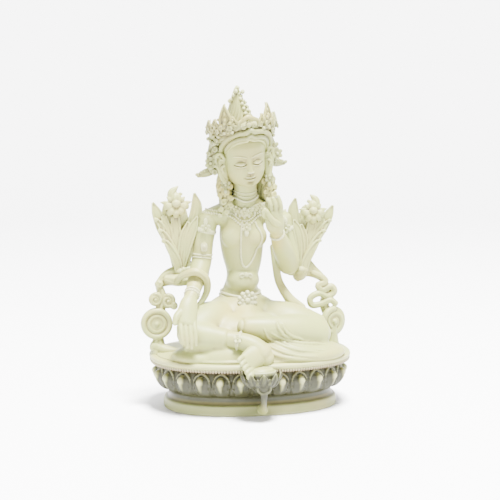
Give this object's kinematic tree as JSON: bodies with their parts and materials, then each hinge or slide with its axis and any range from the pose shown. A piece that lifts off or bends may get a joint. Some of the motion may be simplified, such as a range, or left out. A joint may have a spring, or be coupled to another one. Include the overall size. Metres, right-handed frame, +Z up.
{
  "type": "tara figure",
  "caption": "Seated crowned goddess on an oval lotus throne, one hand lowered to the knee and one raised, a lotus beside each shoulder; a cast shelf ornament.",
  "frame": {"origin": "middle of the throne's flat underside, where the figure stands", "axes": "+Z up, the figure faces -Y, and its right hand is on the -X side"},
  "size_m": [0.1311, 0.1006, 0.1969],
  "materials": {
    "resin": "satin ivory casting with yellowed recesses"
  },
  "bodies": {
    "root": {"tara_figure": "resin"}
  },
  "joints": []
}
